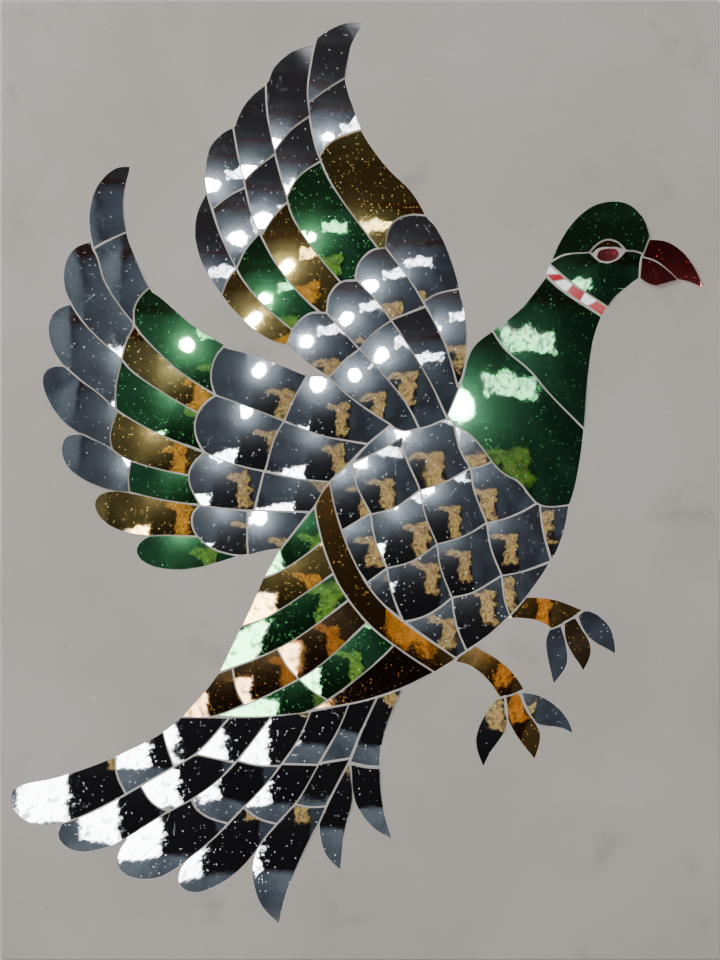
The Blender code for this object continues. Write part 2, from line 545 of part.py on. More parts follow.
def joined_up():
    """Each open line drawn on until it meets another, and then cut off there."""
    open_lines = [index for index, line in enumerate(LINES) if not line["closed"]]
    for index in open_lines:
        for turn in range(2):
            path = LINES[index]["path"][::-1]
            tip = path[0]
            away = (tip - path[1]).normalized()
            ahead = crossings(tip, tip + away * DRAW_ON, index)
            if ahead and not cut_back(index, path, MET_WITHIN):
                path[0] = min(ahead, key=lambda hit: (hit - tip).length)
            LINES[index]["path"] = path
    for index in open_lines:
        for turn in range(2):
            path = LINES[index]["path"][::-1]
            LINES[index]["path"] = cut_back(index, path, CUT_BACK) or path
    return LINES


def cap(tip, away, radius):
    """The rounded end of a strip, from its left side round to its right."""
    side = Vector((-away.y, away.x))
    slant = math.sqrt(0.5)
    return [tip + (away + side) * slant * radius, tip + away * radius,
            tip + (away - side) * slant * radius]


def strips(lines, trim):
    """Every line as the borders of its strip of plaster, narrower by trim on each side."""
    points, edges, owners = [], [], []
    for number, line in enumerate(lines):
        half = line["width"] / 2 - trim
        path, closed = line["path"], line["closed"]
        left, right = shifted(path, half, closed), shifted(path, -half, closed)
        rings = [left, right]
        if not closed:
            end = cap(path[-1], (path[-1] - path[-2]).normalized(), half)
            start = cap(path[0], (path[0] - path[1]).normalized(), half)
            rings = [left + end + right[::-1] + start]
        for ring in rings:
            first = len(points)
            points += ring
            count = len(ring)
            edges += [(first + step, first + (step + 1) % count) for step in range(count)]
            owners += [number] * count
    return points, edges, owners


def inside_triangle(point, corners):
    """Whether a point is in a triangle."""
    turns = []
    for one, other in zip(corners, corners[1:] + corners[:1]):
        turns.append((other - one).cross(point - one))
    return min(turns) >= 0 or max(turns) <= 0


def outlines(lines, trim):
    """Each node's outline, between the strips of plaster around it."""
    points, edges, owners = strips(lines, trim)
    cut = delaunay_2d_cdt(points, edges, [], 0, 1e-7, True)
    places, sides, triangles, side_sources = cut[0], cut[1], cut[2], cut[4]
    walls = {}
    for side, sources in zip(sides, side_sources):
        if sources:
            walls[frozenset(side)] = {owners[source] for source in sources}
    neighbours = {}
    for number, triangle in enumerate(triangles):
        for one, other in zip(triangle, triangle[1:] + triangle[:1]):
            neighbours.setdefault(frozenset((one, other)), []).append(number)
    names = {number: line["name"] for number, line in enumerate(lines)}
    shapes = {}
    for piece in PIECES:
        found = set()
        for seed in piece["seeds"]:
            place = on_panel(seed)
            front = [number for number, triangle in enumerate(triangles)
                     if inside_triangle(place, [places[corner] for corner in triangle])]
            while front:
                number = front.pop()
                if number in found:
                    continue
                found.add(number)
                triangle = triangles[number]
                for one, other in zip(triangle, triangle[1:] + triangle[:1]):
                    key = frozenset((one, other))
                    if all(names[owner] in piece["inner"] for owner in walls.get(key, ())):
                        front += neighbours[key]
        shapes[piece["node"]] = ring_of(found, triangles, neighbours, places)
    return shapes


def ring_of(found, triangles, neighbours, places):
    """The outer ring of a set of triangles, with no points closer than a facet needs."""
    after = {}
    for number in found:
        triangle = triangles[number]
        for one, other in zip(triangle, triangle[1:] + triangle[:1]):
            if sum(near in found for near in neighbours[frozenset((one, other))]) == 1:
                after.setdefault(one, []).append(other)
    rings = []
    for corner in list(after):
        ring = []
        while after[corner]:
            if corner in ring:
                rings.append(ring[ring.index(corner):])
                ring = ring[:ring.index(corner)]
            ring.append(corner)
            corner = after[corner].pop()
        rings.append(ring)
    rings = [[places[corner] for corner in ring] for ring in rings]
    return thinned_ring(max(rings, key=lambda ring: abs(area(ring))), CURVE_ERROR / 5)


def area(ring):
    """The signed area inside a ring."""
    return sum(one.cross(other) for one, other in zip(ring, ring[1:] + ring[:1])) / 2


def collection(name, parent):
    """A new collection inside another."""
    made = bpy.data.collections.new(name)
    parent.children.link(made)
    return made


def finish_material(name, finish):
    """A Principled material of its own for one node."""
    colour, metallic, roughness = FINISHES[finish]
    material = bpy.data.materials.new(name)
    material.use_nodes = True
    shader = material.node_tree.nodes["Principled BSDF"]
    shader.inputs["Base Color"].default_value = colour
    shader.inputs["Metallic"].default_value = metallic
    shader.inputs["Roughness"].default_value = roughness
    material.diffuse_color = colour
    return material


def plates(rings, front, back, group):
    """Flat outlines on the panel, each filled between two depths and made a solid."""
    upright = (Matrix.Translation((0.0, (front + back) / 2, 0.0))
               @ Matrix.Rotation(math.pi / 2, 4, "X"))
    drawn_plates = {}
    for name, ring in rings.items():
        curve = bpy.data.curves.new(name, "CURVE")
        curve.dimensions = "2D"
        curve.fill_mode = "BOTH"
        curve.extrude = (back - front) / 2
        spline = curve.splines.new("POLY")
        spline.points.add(len(ring) - 1)
        for place, point in zip(spline.points, ring):
            place.co = (point.x, point.y, 0.0, 1.0)
        spline.use_cyclic_u = True
        drawn_plates[name] = bpy.data.objects.new("drawn_" + name, curve)
        group.objects.link(drawn_plates[name])
        drawn_plates[name].matrix_world = upright
    ready = bpy.context.evaluated_depsgraph_get()
    solids = {}
    for name, outline in drawn_plates.items():
        mesh = bpy.data.meshes.new_from_object(outline.evaluated_get(ready))
        edit = bmesh.new()
        edit.from_mesh(mesh)
        bmesh.ops.remove_doubles(edit, verts=edit.verts, dist=1e-6)
        bmesh.ops.recalc_face_normals(edit, faces=edit.faces)
        edit.to_mesh(mesh)
        edit.free()
        mesh.name = name
        solids[name] = bpy.data.objects.new(name, mesh)
        solids[name].matrix_world = outline.matrix_world
    for name, outline in drawn_plates.items():
        bpy.data.objects.remove(outline)
        group.objects.link(solids[name])
    return solids


def slab(name, inset, front, back, corner, rounding, group):
    """A rectangular sheet with round corners and a softened front edge."""
    bpy.ops.mesh.primitive_cube_add(size=1.0)
    sheet = bpy.context.object
    sheet.name = name
    for owner in list(sheet.users_collection):
        owner.objects.unlink(sheet)
    group.objects.link(sheet)
    size = Vector((PANEL_WIDTH - 2 * inset, back - front, PANEL_HEIGHT - 2 * inset))
    sheet.data.transform(Matrix.Diagonal((*size, 1.0)))
    sheet.location = (0.0, (front + back) / 2, 0.0)
    edit = bmesh.new()
    edit.from_mesh(sheet.data)
    upright = [side for side in edit.edges
               if abs((side.verts[0].co - side.verts[1].co).normalized().y) > 0.9]
    bmesh.ops.bevel(edit, geom=upright, offset=corner, segments=4, profile=0.5, affect="EDGES")
    rim = [side for side in edit.edges
           if all(vert.co.y < -size.y / 2 + 1e-6 for vert in side.verts)]
    bmesh.ops.bevel(edit, geom=rim, offset=rounding, segments=2, profile=0.5, affect="EDGES")
    edit.to_mesh(sheet.data)
    edit.free()
    return sheet


def carve(solid, cutters):
    """Cut meshes out of another, all of them in one collection."""
    boolean = solid.modifiers.new("cut", "BOOLEAN")
    boolean.operation = "DIFFERENCE"
    boolean.solver = "EXACT"
    boolean.operand_type = "COLLECTION"
    boolean.collection = cutters


def as_cutters(solids):
    """Hide the cutting shapes from renders, and show them as wires."""
    for cutter in solids.values():
        cutter.hide_render = True
        cutter.display_type = "WIRE"


def main():
    for old in list(bpy.data.objects):
        bpy.data.objects.remove(old)
    panel = collection("mosaic_panel", bpy.context.scene.collection)
    cutters = collection("cutters", bpy.context.scene.collection)

    draw_upper_flights()
    draw_upper_coverts()
    draw_lower_flights()
    draw_lower_coverts()
    draw_breast()
    draw_tail_bars()
    draw_tail_feathers()
    draw_neck()
    draw_head()
    draw_feet()
    lines = joined_up()

    pocket_cutters = collection("pockets", cutters)
    pockets = {"pocket_" + node: ring for node, ring in outlines(lines, CLEARANCE).items()}
    as_cutters(plates(pockets, PLASTER_FRONT - CUT_OVER, PLASTER_FRONT + POCKET_DEPTH,
                      pocket_cutters))
    groove_rings = {}
    for line in lines:
        if line["name"]:
            path, half = line["path"], line["width"] / 2
            ring = shifted(path, half, False) + shifted(path, -half, False)[::-1]
            groove_rings["groove_" + line["name"].replace(" ", "_")] = ring
    grooves = plates(groove_rings, GLASS_FRONT - CUT_OVER, GLASS_BACK - WEB_THICKNESS, cutters)
    as_cutters(grooves)
    inlays = plates(outlines(lines, 0.0), GLASS_FRONT, GLASS_BACK, panel)

    board = slab("backing_board", BOARD_INSET, -BOARD_THICKNESS, 0.0, BOARD_CHAMFER,
                 BOARD_CHAMFER, panel)
    ground = slab("plaster_ground", 0.0, PLASTER_FRONT, PLASTER_BACK, PLASTER_CORNER,
                  PLASTER_EDGE, panel)
    board.data.materials.append(finish_material("backing_board", "board"))
    ground.data.materials.append(finish_material("plaster_ground", "plaster"))
    carve(ground, pocket_cutters)
    for piece in PIECES:
        node = piece["node"]
        inlays[node].data.materials.append(finish_material(node, piece["finish"]))
        if piece["inner"]:
            own = collection("grooves_" + node, cutters)
            for name in sorted(piece["inner"]):
                groove = grooves["groove_" + name.replace(" ", "_")]
                cutters.objects.unlink(groove)
                own.objects.link(groove)
            carve(inlays[node], own)


main()
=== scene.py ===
import math

import bpy
import numpy as np
from mathutils import Matrix, Vector


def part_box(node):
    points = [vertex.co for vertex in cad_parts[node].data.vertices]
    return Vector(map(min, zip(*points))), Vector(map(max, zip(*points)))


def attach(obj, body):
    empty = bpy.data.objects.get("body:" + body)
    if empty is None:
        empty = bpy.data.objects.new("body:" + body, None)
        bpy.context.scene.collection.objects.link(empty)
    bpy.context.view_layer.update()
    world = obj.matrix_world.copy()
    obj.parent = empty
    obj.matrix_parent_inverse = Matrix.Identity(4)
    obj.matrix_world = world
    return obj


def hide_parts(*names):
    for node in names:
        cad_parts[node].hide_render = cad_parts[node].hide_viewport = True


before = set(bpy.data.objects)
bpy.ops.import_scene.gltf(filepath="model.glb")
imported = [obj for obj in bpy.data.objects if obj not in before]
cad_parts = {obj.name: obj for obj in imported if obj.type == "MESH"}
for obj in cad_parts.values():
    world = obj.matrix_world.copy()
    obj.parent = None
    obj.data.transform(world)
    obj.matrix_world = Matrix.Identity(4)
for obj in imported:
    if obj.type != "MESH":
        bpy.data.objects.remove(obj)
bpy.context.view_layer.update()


# The board: a plain sheet of pale wood behind the plaster, sawn to size with its edges
# eased and left bare. It carries the plaster sheet on its front face.
class Shade:
    """A shader socket that can be added, multiplied and so on like a number."""

    def __init__(self, tree, socket=None):
        self.tree, self.socket = tree, socket

    def node(self, kind, settings=None, inputs=None, out=0):
        """Any node: its settings first, then the values or links of its sockets."""
        made = self.tree.nodes.new(kind)
        for name, value in (settings or {}).items():
            if name == "stops":
                ramp = made.color_ramp.elements
                while len(ramp) < len(value):
                    ramp.new(0.5)
                for stop, (place, colour) in zip(ramp, value):
                    stop.position, stop.color = place, colour
            else:
                setattr(made, name, value)
        for name, value in (inputs or {}).items():
            if isinstance(value, Shade):
                self.tree.links.new(value.socket, made.inputs[name])
            else:
                made.inputs[name].default_value = value
        return Shade(self.tree, made.outputs[out])

    def also(self, out):
        """Another output of the node that this comes from."""
        return Shade(self.tree, self.socket.node.outputs[out])

    def math(self, operation, one, other=0.0):
        return self.node("ShaderNodeMath", {"operation": operation}, {0: one, 1: other})

    def __add__(self, other):
        return self.math("ADD", self, other)

    def __sub__(self, other):
        return self.math("SUBTRACT", self, other)

    def __rsub__(self, other):
        return self.math("SUBTRACT", other, self)

    def __mul__(self, other):
        return self.math("MULTIPLY", self, other)

    __radd__ = __add__

    def between(self, low, high):
        """0 below low, 1 above high and smooth between them."""
        return self.node("ShaderNodeMapRange", {"interpolation_type": "SMOOTHSTEP"},
                         {"Value": self, "From Min": low, "From Max": high})

    def blend(self, one, other):
        """One colour where this is 0 and another where it is 1."""
        return self.node("ShaderNodeMix", {"data_type": "RGBA"}, {0: self, 6: one, 7: other}, 2)


def new_material(name):
    """An empty Principled material: its shader node and a Shade on its node tree."""
    material = bpy.data.materials.new(name)
    material.use_nodes = True
    shader = material.node_tree.nodes["Principled BSDF"]
    return material, shader, Shade(material.node_tree)


def plug(shader, **sockets):
    """Link varying sockets of a shader: base_color=..., roughness=..., normal=..."""
    for name, value in sockets.items():
        value.tree.links.new(value.socket, shader.inputs[name.replace("_", " ").title()])


GRAIN_STRETCH = (9.0, 9.0, 0.8)  # the grain runs up the board
board_material, board_shader, board_paint = new_material("bare_board")
board_place = board_paint.node("ShaderNodeTexCoord", out=3)
grain_place = board_paint.node("ShaderNodeMapping", {}, {"Vector": board_place,
                                                         "Scale": GRAIN_STRETCH})
grain = board_paint.node("ShaderNodeTexNoise", {}, {"Vector": grain_place, "Scale": 14.0,
                                                    "Detail": 6.0, "Roughness": 0.62})
pores = board_paint.node("ShaderNodeTexNoise", {}, {"Vector": grain_place, "Scale": 120.0,
                                                    "Detail": 2.0})
board_colour = grain.node("ShaderNodeValToRGB", {"stops": [
    (0.30, (0.36, 0.23, 0.12, 1.0)), (0.52, (0.52, 0.37, 0.21, 1.0)),
    (0.72, (0.60, 0.45, 0.28, 1.0))]}, {0: grain})
board_relief = grain * 0.0002 + pores * 0.0001
plug(board_shader,
     base_color=pores.between(0.55, 0.75).blend(board_colour, (0.34, 0.22, 0.12, 1.0)),
     roughness=0.62 + pores * 0.2,
     normal=board_paint.node("ShaderNodeBump", {}, {"Strength": 1.0, "Distance": 1.0,
                                                    "Height": board_relief}))
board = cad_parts["backing_board"]
board.data.materials.clear()
board.data.materials.append(board_material)


# The glass: thin blown mirror glass, silvered or coloured at the back, cut to shape and
# bedded flush in the plaster. Each piece keeps a little of the blown curve and its own
# slight tilt, so that it shows the lamp or the window in its own place, or not at all.
FIGURE_SPAN = 0.438              # the bird, from tail tip to beak tip
FIGURE_SQUARES = 690.0           # its span in squares of the squared-up drawing
SQUARE = FIGURE_SPAN / FIGURE_SQUARES
LEFT_EDGE, TOP_EDGE = -0.2285, 0.3048    # of the panel, where the squares start
EYE = Vector((0.0, -3.0, 0.0))   # where the panel is looked at from
GROUND_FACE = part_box("plaster_ground")[0].y
GLASS_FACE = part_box("chest")[0].y
PLATE = 0.0016                   # thickness of the glass as set
BLOWN_RADIUS = 0.55              # of the globe that a small piece was cut from
RISE_ACROSS = 0.0006             # the most that a piece bulges across its width
RISE_ALONG = 0.0013              # and along its length
CUT_CLOSE = 0.0005               # the glass was cut this much nearer its neighbour's
SMALL_CUT_CLOSE = 0.0001         # small bits and thin ends only this much
CUT = 0.008                      # spacing of the cuts that let a piece curve
UNRULY = math.radians(0.25)      # typical tilt of a piece off true
RIM_PROUD = 0.00003              # the rim of a piece stands this far in front of the plaster
TIGHT_CORNER = (351, 464)        # three scales nearly meet here, so nothing is cut closer
TIGHT_REACH = 0.005              # within this distance of it
MERGE = 1e-6                     # points nearer than this are one point
LEVEL = 1e-5                     # faces and points that differ by less are level
SAME_LINE = math.radians(0.2)    # the outline's stretches that turn less are one line
SHARP = math.radians(27.0)       # a turn that is more than this is a corner
CURVE_STEPS = 4                  # straight steps between two points of a smooth outline
SMOOTH_BELOW = math.radians(30.0)    # edges flatter than this are shaded smooth
STAND_UP = Matrix.Rotation(math.pi / 2, 4, "X")      # from the drawing's plane to the panel's
LAY_FLAT = Matrix.Rotation(-math.pi / 2, 4, "X")     # and back
FAR = 1000.0                     # everything that the glass shows is this far off
# A way is a direction, as how far right and up of straight ahead. The spots are the squares
# of the drawing at which a piece shows the lamp, the window or the ochre patch.
LAMP_WAY, WINDOW_WAY, OCHRE_WAY = (-0.022, 0.053), (0.036, 0.078), (0.040, -0.020)
LAMP_SPOTS = [(329, 137), (277, 141), (288, 188), (264, 218), (238, 237), (247, 170), (214, 185),
              (311, 237), (288, 265), (266, 298), (307, 341), (348, 318), (383, 354), (355, 376),
              (372, 285), (259, 372), (318, 387), (246, 413), (187, 345), (461, 405),
              (255, 318)]
WINDOW_SPOTS = [(420, 262), (427, 357), (530, 340), (580, 282), (376, 224)]
OCHRE_SPOTS = [(435, 466), (387, 492), (490, 500), (455, 518), (420, 537), (512, 546), (466, 563),
               (431, 577), (488, 605), (510, 592), (448, 631), (545, 607), (503, 668), (519, 705),
               (495, 712)]
dice = np.random.default_rng(7)
outline_curves = []              # a copy of each node's outlines, for the plaster's pockets


def on_panel(square):
    """A square of the drawing, as x and z on the panel."""
    return Vector((LEFT_EDGE + square[0] * SQUARE, TOP_EDGE - square[1] * SQUARE))


def pick(*things):
    """Select only these objects, the first of them active."""
    bpy.ops.object.select_all(action="DESELECT")
    for thing in things:
        thing.select_set(True)
    bpy.context.view_layer.objects.active = things[0]


def edit(operation, **options):
    """One operator in edit mode, on everything that is selected there."""
    if bpy.context.object.mode != "EDIT":
        bpy.ops.object.mode_set(mode="EDIT")
    operation(**options)


def object_mode():
    bpy.ops.object.mode_set(mode="OBJECT")


def grown(spline, wanted):
    """Move every point of a closed outline outwards, square to the outline."""
    places = [point.co.copy() for point in spline.bezier_points]
    turn = sum(one.x * other.y - one.y * other.x
               for one, other in zip(places, places[1:] + places[:1]))
    for index, point in enumerate(spline.bezier_points):
        tight = (places[index].xy - on_panel(TIGHT_CORNER)).length < TIGHT_REACH
        by = 0.0 if tight else wanted
        before = (places[index] - places[index - 1]).normalized()
        after = (places[(index + 1) % len(places)] - places[index]).normalized()
        outward = Vector((before.y + after.y, -before.x - after.x, 0.0))
        reach = by / max(1.0 + before.dot(after), 0.5)
        point.co = places[index] + outward * (reach if turn > 0.0 else -reach)


def outlines_of(node, cut_close):
    """The front outlines of a node's pieces, as smooth closed curves in the drawing's plane."""
    sheet = bpy.data.objects.new("outline_" + node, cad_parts[node].data.copy())
    bpy.context.scene.collection.objects.link(sheet)
    pick(sheet)
    edit(bpy.ops.mesh.select_mode, type="FACE")
    edit(bpy.ops.mesh.select_all, action="SELECT")
    edit(bpy.ops.mesh.remove_doubles, threshold=MERGE)
    object_mode()
    for face in sheet.data.polygons:
        face.select = face.normal.y > -0.9 or face.center.y > GLASS_FACE + LEVEL
    edit(bpy.ops.mesh.delete, type="FACE")
    edit(bpy.ops.mesh.select_all, action="SELECT")
    edit(bpy.ops.mesh.dissolve_limited, angle_limit=SAME_LINE)
    object_mode()
    sheet.data.transform(LAY_FLAT)
    bpy.ops.object.convert(target="CURVE")
    curve = bpy.context.object
    edit(bpy.ops.curve.select_all, action="SELECT")
    edit(bpy.ops.curve.spline_type_set, type="BEZIER")
    object_mode()
    for spline in curve.data.splines:
        grown(spline, cut_close)
    edit(bpy.ops.curve.handle_type_set, type="AUTOMATIC")
    object_mode()
    for spline in curve.data.splines:
        points = spline.bezier_points
        for index, point in enumerate(points):
            before = (point.co - points[index - 1].co).normalized()
            after = (points[(index + 1) % len(points)].co - point.co).normalized()
            if before.dot(after) < math.cos(SHARP):
                point.handle_left_type = point.handle_right_type = "VECTOR"
        spline.resolution_u = CURVE_STEPS
    curve.data.resolution_u = CURVE_STEPS
    curve.data.dimensions = "2D"
    curve.data.fill_mode = "BOTH"
    return curve


def holds(outline, place):
    """Whether a place on the panel is inside a piece's outline."""
    odd = False
    for one, other in zip(outline, outline[1:] + outline[:1]):
        if (one.y > place.y) != (other.y > place.y):
            if place.x < one.x + (other.x - one.x) * (place.y - one.y) / (other.y - one.y):
                odd = not odd
    return odd


def facing(place, way):
    """The lean of the glass, in x and z, that shows what is that way to the eye."""
    here = Vector((place.x, GLASS_FACE, place.y))
    seen = Vector((way[0], -1.0, way[1])) * FAR
    half_way = (EYE - here).normalized() + (seen - here).normalized()
    return Vector((half_way.x, half_way.z)) / -half_way.y


def curved(tile, outline, shows, rise):
    """Give a flat piece the blown curve and its own tilt, with its rim at the plaster."""
    ring = np.array([tuple(point) for point in outline])
    middle = ring.mean(axis=0)
    axes = np.linalg.eigh(np.cov((ring - middle).T))[1]
    reach = np.abs((ring - middle) @ axes).max(axis=0)
    across = min(1.0 / BLOWN_RADIUS, 2.0 * rise * RISE_ACROSS / reach[0] ** 2)
    along = min(across, 2.0 * rise * RISE_ALONG / reach[1] ** 2)
    bend = axes @ np.diag([across, along]) @ axes.T
    lean = dice.normal(0.0, UNRULY, 2)
    if shows:
        sideways = middle[0] / -EYE.y if shows[0] is None else shows[0]
        lean += facing(Vector(middle), (sideways, shows[1]))
    for way, spots in ((OCHRE_WAY, OCHRE_SPOTS), (WINDOW_WAY, WINDOW_SPOTS),
                       (LAMP_WAY, LAMP_SPOTS)):
        for spot in spots:
            place = on_panel(spot)
            if holds(outline, place):
                lean = np.array(facing(place, way)) - bend @ (np.array(place) - middle)
    points = np.empty(len(tile.data.vertices) * 3, np.float32)
    tile.data.vertices.foreach_get("co", points)
    points = points.reshape(-1, 3)

    def depth(away):
        return away @ lean + 0.5 * np.einsum("ij,jk,ik->i", away, bend, away)

    rim = depth(ring - middle).mean()
    points[:, 1] = GROUND_FACE + RIM_PROUD - rim + depth(points[:, [0, 2]] - middle)
    tile.data.vertices.foreach_set("co", points.ravel())
    tile.data.update()


def set_glass(node, material, shows=None, cut_close=CUT_CLOSE, tones=None, rise=1.0):
    """All the pieces of one node, from its outlines: filled, curved and given thickness."""
    curve = outlines_of(node, cut_close)
    spare = curve.copy()
    spare.data = curve.data.copy()
    outline_curves.append(spare)
    pick(curve)
    bpy.ops.object.convert(target="MESH")
    sheet = bpy.context.object
    sheet.data.transform(STAND_UP)
    edit(bpy.ops.mesh.select_all, action="SELECT")
    edit(bpy.ops.mesh.remove_doubles, threshold=MERGE)
    edit(bpy.ops.mesh.dissolve_limited, angle_limit=math.radians(0.05))
    object_mode()
    if len(sheet.data.polygons) > 1:
        edit(bpy.ops.mesh.select_all, action="SELECT")
        edit(bpy.ops.mesh.separate, type="LOOSE")
        object_mode()
    tiles = list(bpy.context.selected_objects)
    tiles = sorted(set(tiles + [sheet]), key=lambda tile: sum(
        point.co.x for point in tile.data.vertices) / len(tile.data.vertices))
    for count, tile in enumerate(tiles):
        pick(tile)
        face = max(tile.data.polygons, key=lambda face: face.area)
        outline = [tile.data.vertices[index].co.xz for index in face.vertices]
        low = [min(point[axis] for point in outline) for axis in (0, 1)]
        high = [max(point[axis] for point in outline) for axis in (0, 1)]
        for axis, normal in ((0, (1.0, 0.0, 0.0)), (1, (0.0, 0.0, 1.0))):
            for step in range(math.ceil(low[axis] / CUT), math.floor(high[axis] / CUT) + 1):
                edit(bpy.ops.mesh.select_all, action="SELECT")
                edit(bpy.ops.mesh.bisect, plane_co=Vector(normal) * step * CUT, plane_no=normal)
        object_mode()
        curved(tile, outline, shows, rise)
        tone = tile.data.attributes.new("tone", "FLOAT", "FACE")
        value = tones[count % len(tones)] if tones else dice.random()
        tone.data.foreach_set("value", [value] * len(tile.data.polygons))
    pick(*tiles)
    if len(tiles) > 1:
        bpy.ops.object.join()
    glass = bpy.context.object
    glass.name = glass.data.name = node + "_glass"
    edit(bpy.ops.mesh.select_all, action="SELECT")
    edit(bpy.ops.mesh.normals_make_consistent, inside=False)
    object_mode()
    if sum(face.normal.y * face.area for face in glass.data.polygons) > 0.0:
        glass.data.flip_normals()
    thick = glass.modifiers.new("thickness", "SOLIDIFY")
    thick.thickness, thick.offset = PLATE, -1.0
    bpy.ops.object.modifier_apply(modifier=thick.name)
    bpy.ops.object.shade_smooth_by_angle(angle=SMOOTH_BELOW)
    glass.data.materials.clear()
    glass.data.materials.append(material)
    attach(glass, "root")
    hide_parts(node)


SEED_CELLS, PIT_CELLS = 270.0, 520.0     # places to a metre where a seed or a pit may be
WAVES, RIPPLES = 0.000045, 0.000006      # heights of the slow and the quick waves


def mirror_glass(name, colour, worn, clear, pitted=0.00012):
    """Mirror glass of one colour: wavy, pitted, with seeds in it and slightly worn. The seeds
    are real bubbles, painted pale and not metallic as a painted glint for the sparkle that they
    give.
    The nearer clear is to 1, the fewer seeds; pitted is the height of the pits."""
    material, shader, paint = new_material(name)
    place = paint.node("ShaderNodeTexCoord", out=3)
    face_on = paint.node("ShaderNodeMapping", {}, {"Vector": place,
                                                   "Rotation": (math.pi / 2, 0.0, 0.0)})
    tone = paint.node("ShaderNodeAttribute", {"attribute_name": "tone"}, out=2)
    slow = paint.node("ShaderNodeTexNoise", {}, {"Vector": place, "Scale": 45.0, "Detail": 1.0})
    quick = paint.node("ShaderNodeTexNoise", {}, {"Vector": place, "Scale": 260.0, "Detail": 2.0})
    haze = paint.node("ShaderNodeTexNoise", {}, {"Vector": place, "Scale": 30.0, "Detail": 5.0})
    bubble = paint.node("ShaderNodeTexVoronoi", {"voronoi_dimensions": "2D"},
                        {"Vector": face_on, "Scale": SEED_CELLS})
    chance = bubble.also(1) * 0.6 + haze * 0.4
    seed_glint = (chance.between(clear, clear + 0.35) * 0.18 - bubble).between(0.0, 0.06)
    pit = paint.node("ShaderNodeTexVoronoi", {"voronoi_dimensions": "2D"},
                     {"Vector": face_on, "Scale": PIT_CELLS})
    pit_mark = (pit.also(1).between(clear + 0.08, 0.9) * 0.28 - pit).between(0.0, 0.25)
    relief = slow * WAVES + quick * RIPPLES + pit_mark * pitted
    light = tuple(min(1.0, part * 1.2 + 0.03) for part in colour)
    body = (tone * 0.5 + haze * 0.5).between(0.25, 0.8).blend((*colour, 1.0), (*light, 1.0))
    # The seeds' pale colour is partly the bubbles themselves and partly a painted glint for their
    # sparkle.
    pale = 0.86 - clear
    seed_glint_colour = tuple(pale + 0.45 * part for part in colour)
    plug(shader, base_color=seed_glint.blend(body, (*seed_glint_colour, 1.0)),
         roughness=worn + haze.between(0.5, 0.8) * 0.03 + seed_glint * 0.3,
         metallic=1.0 - seed_glint,
         normal=paint.node("ShaderNodeBump", {}, {"Strength": 1.0, "Distance": 1.0,
                                                  "Height": relief}))
    shader.inputs["Coat Weight"].default_value = 1.0
    shader.inputs["Coat Roughness"].default_value = 0.02
    shader.inputs["Coat IOR"].default_value = 1.8
    return material


silver_glass = mirror_glass("silver_glass", (0.74, 0.77, 0.80), worn=0.015, clear=0.66,
                            pitted=0.00006)
green_glass = mirror_glass("green_glass", (0.13, 0.62, 0.18), worn=0.015, clear=0.54)
amber_glass = mirror_glass("amber_glass", (0.92, 0.58, 0.12), worn=0.02, clear=0.54)
orange_glass = mirror_glass("orange_glass", (0.88, 0.40, 0.05), worn=0.02, clear=0.60)
brown_glass = mirror_glass("brown_glass", (0.52, 0.25, 0.05), worn=0.02, clear=0.56)
red_glass = mirror_glass("red_glass", (0.74, 0.03, 0.04), worn=0.02, clear=0.66,
                         pitted=0.00004)


# The raised wing: five long feathers of mirror glass, silver at the tip and green or amber
# at the root in turn, and four silver coverts over their roots, all bedded in the plaster.
HIGH_WAY, ABOVE_LAMP_WAY = (0.01, 0.20), (0.01, 0.13)
for number, root_glass in enumerate((amber_glass, green_glass, amber_glass, green_glass,
                                     amber_glass), start=1):
    set_glass("upper_flight_%d_tip" % number, silver_glass,
              HIGH_WAY if number == 1 else ABOVE_LAMP_WAY)
    set_glass("upper_flight_%d_root" % number, root_glass)
for number in range(1, 5):
    set_glass("upper_covert_%d" % number, silver_glass)


# The lowered wing: five feathers of mirror glass in two colours, two short ones in one
# colour each, and eight silver coverts in four pairs, all bedded in the plaster.
LEFT_WAY = (-0.13, 0.06)
for number, root_glass in enumerate((green_glass, amber_glass, green_glass, amber_glass,
                                     green_glass), start=1):
    set_glass("lower_flight_%d_tip" % number, silver_glass, LEFT_WAY)
    set_glass("lower_flight_%d_root" % number, root_glass)
set_glass("lower_flight_6", amber_glass)
set_glass("lower_flight_7", green_glass)
set_glass("lower_coverts", silver_glass)


# The body: seventeen scales of silver mirror glass on the breast, cut from one sheet and
# bedded side by side, and a long, nearly flat strip of orange glass along its back.
STRIP_WAY = (0.013, -0.032)
NEARLY_FLAT = 0.3                # of the usual curve
set_glass("breast_scales", silver_glass)
set_glass("belt", orange_glass, STRIP_WAY, rise=NEARLY_FLAT)


# The tail: six slanting bars of mirror glass in green, amber and brown, and seven long
# silver feathers, each in two or three pieces; the last two end in narrow points.
LAST_BAR_WAY = (-0.005, -0.10)
FEATHER_UPS = (-0.12, -0.14, -0.15)      # feathers 1 to 2, 3 to 5, and 6 to 7
for number, bar_glass in enumerate((green_glass, amber_glass, green_glass, brown_glass,
                                    green_glass), start=1):
    set_glass("tail_bar_%d" % number, bar_glass)
set_glass("tail_bar_6", brown_glass, LAST_BAR_WAY, rise=NEARLY_FLAT)
for number in range(1, 8):
    set_glass("tail_feather_%d" % number, silver_glass, (None, FEATHER_UPS[number // 3]),
              CUT_CLOSE if number < 6 else SMALL_CUT_CLOSE)


